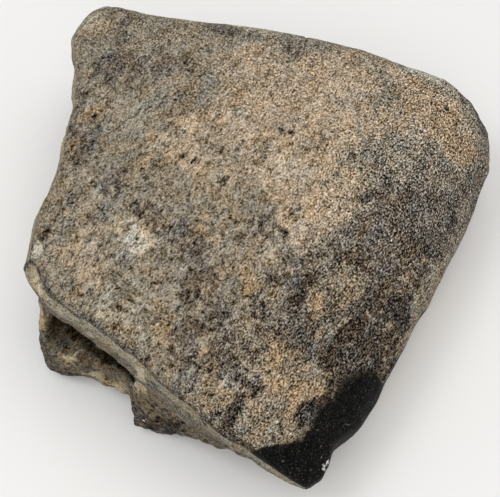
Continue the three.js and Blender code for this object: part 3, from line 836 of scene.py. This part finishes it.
def stone_patterns(bench):
    """The noises and zones of the stone. The noises lie about 0."""
    place = bench.node("ShaderNodeTexCoord", output="Object")
    drawn_out = bench.vector("MULTIPLY", place, GRAIN_STRETCH)

    def shifted(offset):
        return bench.vector("ADD", drawn_out, tuple(value * MM for value in offset))

    found = {}
    for name, (offset, *shape) in NOISES.items():
        found[name] = bench.clouds(shifted(offset), *shape) - 0.5
    inputs = {"Vector": place, "Scale": 1 / WOBBLE_SIZE}
    wobble = bench.node("ShaderNodeTexNoise", {}, inputs, "Color")
    wobble = bench.vector("SUBTRACT", wobble, (0.5, 0.5, 0.5))
    wobble = bench.vector("MULTIPLY", wobble, WOBBLE_REACH)
    for name, (offset, size) in CELLS.items():
        found[name] = bench.cells(bench.vector("ADD", shifted(offset), wobble), size)
    for name in ("edge", *STAINED, "soil", "glaze", "crack", "pore", "speck"):
        found[name] = bench.node("ShaderNodeAttribute", {"attribute_name": name}, output="Fac")
    across = bench.part(place, "X")
    along = bench.part(place, "Y")
    return SimpleNamespace(across=across, along=along, on_shoulder=across.step(*SHOULDER_ZONE),
                           far_end=along.step(*FAR_ZONE), **found)


print("noises:", len(NOISES), "cell patterns:", len(CELLS))

# %% [markdown]
# The layers of the bone lie at set distances from the crust's edge: the outside, a pale rim,
# the outer wall and the stone inside. Noises move these borders, so that they look broken
# rather than drawn. Grains decide in the same way where one stain ends and the next begins.

# %% Tell the layers apart, and mix the stains
EDGE_CRUMBLE = 2.0
EDGE_BLUR = 0.3
WALL_WAVER = 20
RIM_WIDTH = 4.5
RIM_WAVER = 6
RIM_BLUR = 0.6
# How much the noises eat into each kind of stain, and how soft its border is.
LEANING = {"tan": 3.0, "charcoal": -3.0, "umber": -3.0, "rust": 4.0, "pale": 3.0}
STAIN_FADE = {"tan": 0.38, "charcoal": 0.3, "umber": 0.3, "rust": 0.38, "pale": 0.38}
SOIL_SHADE_CRUMBLE = 0.8
SOIL_SHADE_RISE = (0.2, 0.9)
SOIL_SHADE_ZONE = (-14 * MM, 6 * MM)


def find_layers(stone):
    """Says where the outside, the inner stone and the pale rim are."""
    edge, mottle = stone.edge, stone.mottle
    stone.on_outside = 1 - (edge + stone.grain * EDGE_CRUMBLE).past(0, EDGE_BLUR)
    stone.in_stone = (edge + mottle * WALL_WAVER).past(BONE_WALL, WALL_FADE)
    stone.rim = 1 - (edge + mottle * RIM_WAVER).past(RIM_WIDTH, RIM_BLUR)


def stained_stone(bench, stone):
    """The colours of the outside and of the breaks, with their stains, and the soil of the hollow
    with painted shade.
    """
    skin = GREY_STONE
    broken = bench.mix(stone.rim, bench.mix(stone.in_stone, WALL_STONE, INNER_STONE), RIM_STONE)
    for kind, stained in STAINED.items():
        crumbled = getattr(stone, kind) * (1 + LEANING[kind] * (stone.mottle + stone.flecks))
        amount = crumbled.past(0.5, STAIN_FADE[kind])
        skin = bench.mix(amount, skin, stained)
        broken = bench.mix(amount, broken, BROKEN_STAINED[kind])
    # The soil of the hollow, darker towards its right end, with painted shade under the roof.
    soil = bench.mix(stone.across.step(*SOIL_SHADE_ZONE), SHADED_SOIL_STONE, SOIL_IN_DEEP_SHADE)
    soil_and_shade_amount = stone.soil + SOIL_SHADE_CRUMBLE * stone.grain + stone.mottle
    broken = bench.mix(soil_and_shade_amount.step(*SOIL_SHADE_RISE), broken, soil)
    return bench.mix(stone.on_outside, broken, skin)


print("stain kinds:", list(STAINED))

# %% [markdown]
# Lighter and darker spots come from the mottle, the grain, the pits, darker and lighter
# flecks, and the sponge-like holes of the inner stone. The grain is stronger on the round
# shoulder and at the far end, where the crust is worn to its pores. On dark stains there,
# single grains are lightened as painted glints. In the end the dark side is made a little
# stronger than the light.

# %% Add up light and dark
MOTTLE_STRENGTH = 0.5
FAR_MOTTLE = 0.2
GRAIN_STRENGTH = 1.02
SHOULDER_GRAIN = 0.58
FAR_SHOULDER_GRAIN = 0.32
FAR_GRAIN = 0.48
PIT_STRENGTH = 0.2
FLECK_STRENGTH = 0.17
FLECK_LIMIT = 0.09
FLECK_BLUR = 0.05
LIGHT_FLECKS = 0.5
SHOULDER_PATCHES = 0.45
FAR_PATCHES = 0.5
SPONGE_STRENGTH = 0.16
SPONGE_HOLES = (0.1, 0.45)
# Painted highlights: how strong the glints on dark stains are, and at which grain values.
PAINTED_GLINT_STRENGTH = 0.12
PAINTED_GLINT_GRAINS = (0.12, 0.28)
BREAK_CALM = 0.3
DARK_SIDE = 0.2


def light_and_dark(bench, stone):
    """How much lighter or darker than its tone each point of the stone is."""
    far_end, on_shoulder = stone.far_end, stone.on_shoulder
    on_break = 1 - stone.on_outside
    more_grain = on_shoulder * (SHOULDER_GRAIN + FAR_SHOULDER_GRAIN * far_end)
    more_grain = more_grain + FAR_GRAIN * far_end
    light = stone.mottle * (MOTTLE_STRENGTH * (1 - FAR_MOTTLE * far_end))
    light = light + stone.grain * (GRAIN_STRENGTH * (1 + more_grain))
    patches = (stone.pits - 0.5) * PIT_STRENGTH
    patches = patches - FLECK_STRENGTH * (1 - stone.flecks.past(-FLECK_LIMIT, FLECK_BLUR))
    light_flecks = stone.flecks.past(FLECK_LIMIT, FLECK_BLUR)
    patches = patches + LIGHT_FLECKS * FLECK_STRENGTH * light_flecks
    patches = patches * (1 - SHOULDER_PATCHES * on_shoulder)
    light = light + patches * (1 - FAR_PATCHES * far_end)
    holes = 1 - stone.sponge.step(*SPONGE_HOLES)
    light = light - SPONGE_STRENGTH * stone.in_stone * on_break * holes
    dark = stone.charcoal.at_least(stone.umber)
    # Painted highlights: single grains on dark stains of the shoulder are lightened as glints.
    light = light + PAINTED_GLINT_STRENGTH * dark * on_shoulder * stone.grain.step(*PAINTED_GLINT_GRAINS)
    light = light * (1 - BREAK_CALM * on_break)
    return light - DARK_SIDE * bench.maths("ABSOLUTE", light)


print("strongest pattern: the grain, at", GRAIN_STRENGTH)

# %% [markdown]
# On top come a slow change between warm and cool, the dark line where the crust ends with
# painted shade under its lip, cracks and pores darkened as painted shade, the glaze with its
# few painted glints, and the specks. The same light and dark feed the bump: what is dark
# lies deeper. The glaze is smoother, and its bump has larger lumps. Values that are the same
# all over are set on the shader itself.

# %% Mix the stone's material
WARM_SHIFT = (1.0, 0.1, -0.9)
WARM_STRENGTH = 0.15
LINE_WIDTH = 0.9
LINE_WAVER = 12
LINE_CRUMBLE = 1.5
LINE_BEGINS = (-0.4, 0.3)
LINE_ENDS = (0.3, 0.9)
LINE_BEHIND = 0.15
LINE_AT_FRONT = 0.65
CRACK_SHADE = 0.65
HOLE_SHADE_RISE = (0.1, 1.0)
HOLE_SHADE_STRENGTH = 0.85
SPECK_CRUMBLE = 2
SPECK_RISE = (0.4, 0.9)
# How much the mottle, the grain and the flecks move the border of the glaze.
GLAZE_WAVER = (0.9, 1.3, 1.2)
GLAZE_BLUR = 0.08
# The painted highlights on the glaze: how strong, and at which noise values.
GLAZE_GLINT_AMOUNT = 0.5
GLAZE_GLINT_RISE = (0.21, 0.3)
GLAZE_CALM = 0.6
GLAZE_MOTTLE_BUMP = 0.8
GLAZE_FLECK_BUMP = 1.2
STONE_ROUGHNESS = 0.85
GLAZE_SMOOTHNESS = 0.3
GRAIN_RELIEF = 0.35 * MM
SPECULAR = 0.07


def crust_edge_and_shade(stone):
    """The dark line where the crust ends, partly the crust's dark rim and partly painted shade under
    its lip, strongest along the front.
    """
    width = LINE_WIDTH + stone.mottle * LINE_WAVER
    begins = (stone.edge + width + stone.grain * LINE_CRUMBLE).step(*LINE_BEGINS)
    ends = (stone.edge + stone.grain).step(*LINE_ENDS)
    at_front = 1 - stone.along.step(*BEHIND_FRONT)
    return begins * (1 - ends) * (LINE_BEHIND + LINE_AT_FRONT * at_front)


def glaze_cover(stone):
    by_mottle, by_grain, by_flecks = GLAZE_WAVER
    border = by_mottle * stone.mottle + by_grain * stone.grain + by_flecks * stone.flecks
    return (stone.glaze + border).past(0.5, GLAZE_BLUR)


def finished_colour(bench, stone, light, glazed):
    colour = stained_stone(bench, stone)
    warmer = bench.scaled(WARM_SHIFT, stone.warm * WARM_STRENGTH)
    colour = bench.vector("ADD", colour, warmer)
    # The crust line: a dark rim, with painted shade under the crust's lip.
    colour = bench.mix(crust_edge_and_shade(stone), colour, CRUST_LINE_SHADE)
    # Painted shade: the cracks and pores are darkened in the colour.
    hole_shade = (stone.crack * CRACK_SHADE).at_least(stone.pore)
    colour = bench.mix(hole_shade.step(*HOLE_SHADE_RISE) * HOLE_SHADE_STRENGTH, colour, HOLE_SHADE)
    colour = bench.mix(glazed, colour, GLAZE_STONE)
    speckled = (stone.speck + stone.grain * SPECK_CRUMBLE).step(*SPECK_RISE)
    colour = bench.mix(speckled, colour, SPECK)
    # Painted highlights: a few grains of the glaze are lightened as glints.
    painted_glints = glazed * stone.sparks.step(*GLAZE_GLINT_RISE) * GLAZE_GLINT_AMOUNT
    colour = bench.mix(painted_glints, colour, GLAZE_PAINTED_GLINT)
    evenly = bench.node("ShaderNodeCombineXYZ", {}, {"X": light, "Y": light, "Z": light})
    colour = bench.vector("MAXIMUM", bench.vector("ADD", colour, evenly), DARKEST)
    return bench.node("ShaderNodeGamma", {}, {"Color": colour, "Gamma": DISPLAY_GAMMA})


def stone_material(name):
    material = bpy.data.materials.new(name)
    material.use_nodes = True
    bench = Bench(material.node_tree)
    shader = material.node_tree.nodes["Principled BSDF"]
    stone = stone_patterns(bench)
    find_layers(stone)
    glazed = glaze_cover(stone)
    light = light_and_dark(bench, stone) * (1 - GLAZE_CALM * glazed)
    bench.feed(shader.inputs["Base Color"], finished_colour(bench, stone, light, glazed))
    bench.feed(shader.inputs["Roughness"], STONE_ROUGHNESS - GLAZE_SMOOTHNESS * glazed)
    lumps = GLAZE_MOTTLE_BUMP * stone.mottle + GLAZE_FLECK_BUMP * stone.flecks
    inputs = {"Strength": 1.0, "Distance": GRAIN_RELIEF, "Height": light + glazed * lumps}
    bench.feed(shader.inputs["Normal"], bench.node("ShaderNodeBump", {}, inputs))
    shader.inputs["Specular IOR Level"].default_value = SPECULAR
    return material


fossil_stone = stone_material("fossil_stone")
print("nodes in the stone:", len(fossil_stone.node_tree.nodes))

# %% [markdown]
# Now the relief runs on the remeshed copy. A modifier's inputs are set by their identifiers
# before the object is evaluated for the first time. The result becomes a plain mesh.

# %% Raise the relief


def raise_relief(thing, sizes, material):
    tree, identifiers = relief_tree(sizes, material)
    modifier = thing.modifiers.new("stone relief", "NODES")
    modifier.node_group = tree
    for name, value in sizes.items():
        modifier[identifiers[name]] = value
    apply_modifiers(thing)
    thing.data.polygons.foreach_set("use_smooth", [True] * len(thing.data.polygons))


raise_relief(fossil, RELIEF, fossil_stone)
triangles = sum(len(face.vertices) - 2 for face in fossil.data.polygons)
print("triangles:", triangles)

# %% [markdown]
# ## Back in the frame
#
# The finished surface stands for the solid of the frame and moves with its only body.

# %% Tie the surface to the frame
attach(fossil, "root")
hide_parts("tibia_fragment")
print("tied to the frame:", fossil.name)

# %% [markdown]
# ## A small studio
#
# The floor is plain and pale. Three wide lamps hang almost a metre up: a warm one behind the
# bone, a cool one at its front left, like a window, and a weaker one at its front right. So
# the shadows are soft, cool in front and warm at the right. The world adds an even light
# from all sides, which keeps the shadows pale.

# %% Lay the floor and hang the lamps
FLOOR_SIZE = 6.0
FLOOR_COLOUR = (0.90, 0.895, 0.88, 1)
FLOOR_ROUGHNESS = 0.7
# Each lamp: its place, the side of its square in metres, its power in watts, its colour.
LAMPS = {
    "warm_lamp": ((0.16, 0.26, 0.95), 0.6, 1.7, (1.0, 0.93, 0.85)),
    "window_lamp": ((-0.36, -0.34, 0.9), 0.45, 2.4, (0.95, 0.98, 1.0)),
    "front_lamp": ((0.3, -0.55, 0.8), 0.5, 1.5, (1.0, 0.98, 0.96)),
}
WORLD_COLOUR = (0.98, 0.985, 1.0, 1)
WORLD_STRENGTH = 0.61


def make_floor():
    mesh = bpy.data.meshes.new("studio_floor")
    half = FLOOR_SIZE / 2
    corners = [(-half, -half, 0), (half, -half, 0), (half, half, 0), (-half, half, 0)]
    mesh.from_pydata(corners, [], [(0, 1, 2, 3)])
    floor = bpy.data.objects.new("studio_floor", mesh)
    bpy.context.scene.collection.objects.link(floor)
    material = bpy.data.materials.new("studio_floor")
    material.use_nodes = True
    shader = material.node_tree.nodes["Principled BSDF"]
    shader.inputs["Base Color"].default_value = FLOOR_COLOUR
    shader.inputs["Roughness"].default_value = FLOOR_ROUGHNESS
    mesh.materials.append(material)


def add_lamp(name, place, size, power, colour):
    """Hangs a square lamp that shines at the middle of the floor."""
    lamp = bpy.data.lights.new(name, "AREA")
    lamp.shape = "SQUARE"
    lamp.size = size
    lamp.energy = power
    lamp.color = colour
    thing = bpy.data.objects.new(name, lamp)
    thing.location = place
    thing.rotation_euler = (-Vector(place)).to_track_quat("-Z", "Y").to_euler()
    bpy.context.scene.collection.objects.link(thing)


def set_world():
    world = bpy.data.worlds.new("studio_air")
    world.use_nodes = True
    background = world.node_tree.nodes["Background"]
    background.inputs["Color"].default_value = WORLD_COLOUR
    background.inputs["Strength"].default_value = WORLD_STRENGTH
    bpy.context.scene.world = world


make_floor()
for name, lamp in LAMPS.items():
    add_lamp(name, *lamp)
set_world()
print("lamps:", len(bpy.data.lights))

# %% [markdown]
# The camera looks down at the crown from the front right. A long lens keeps the perspective
# gentle, so that the far edges of the bone look only a little smaller than the near ones.

# %% Place the camera
CAMERA_TARGET = Vector((13.12, -8.61, 20)) * MM
CAMERA_AZIMUTH = math.radians(33)
CAMERA_ELEVATION = math.radians(60)
CAMERA_DISTANCE = 350 * MM
LENS = 90
SENSOR_WIDTH = 36
NEAREST_SEEN = 0.01


def add_camera():
    level = math.cos(CAMERA_ELEVATION)
    back = Vector((math.sin(CAMERA_AZIMUTH) * level, -math.cos(CAMERA_AZIMUTH) * level,
                   math.sin(CAMERA_ELEVATION)))
    data = bpy.data.cameras.new("camera")
    data.lens = LENS
    data.sensor_width = SENSOR_WIDTH
    data.clip_start = NEAREST_SEEN
    camera = bpy.data.objects.new("camera", data)
    camera.location = CAMERA_TARGET + CAMERA_DISTANCE * back
    camera.rotation_euler = back.to_track_quat("Z", "Y").to_euler()
    bpy.context.scene.collection.objects.link(camera)
    bpy.context.scene.camera = camera


add_camera()
bpy.context.scene.view_settings.view_transform = "Standard"
print("camera at", [round(value, 3) for value in bpy.context.scene.camera.location])
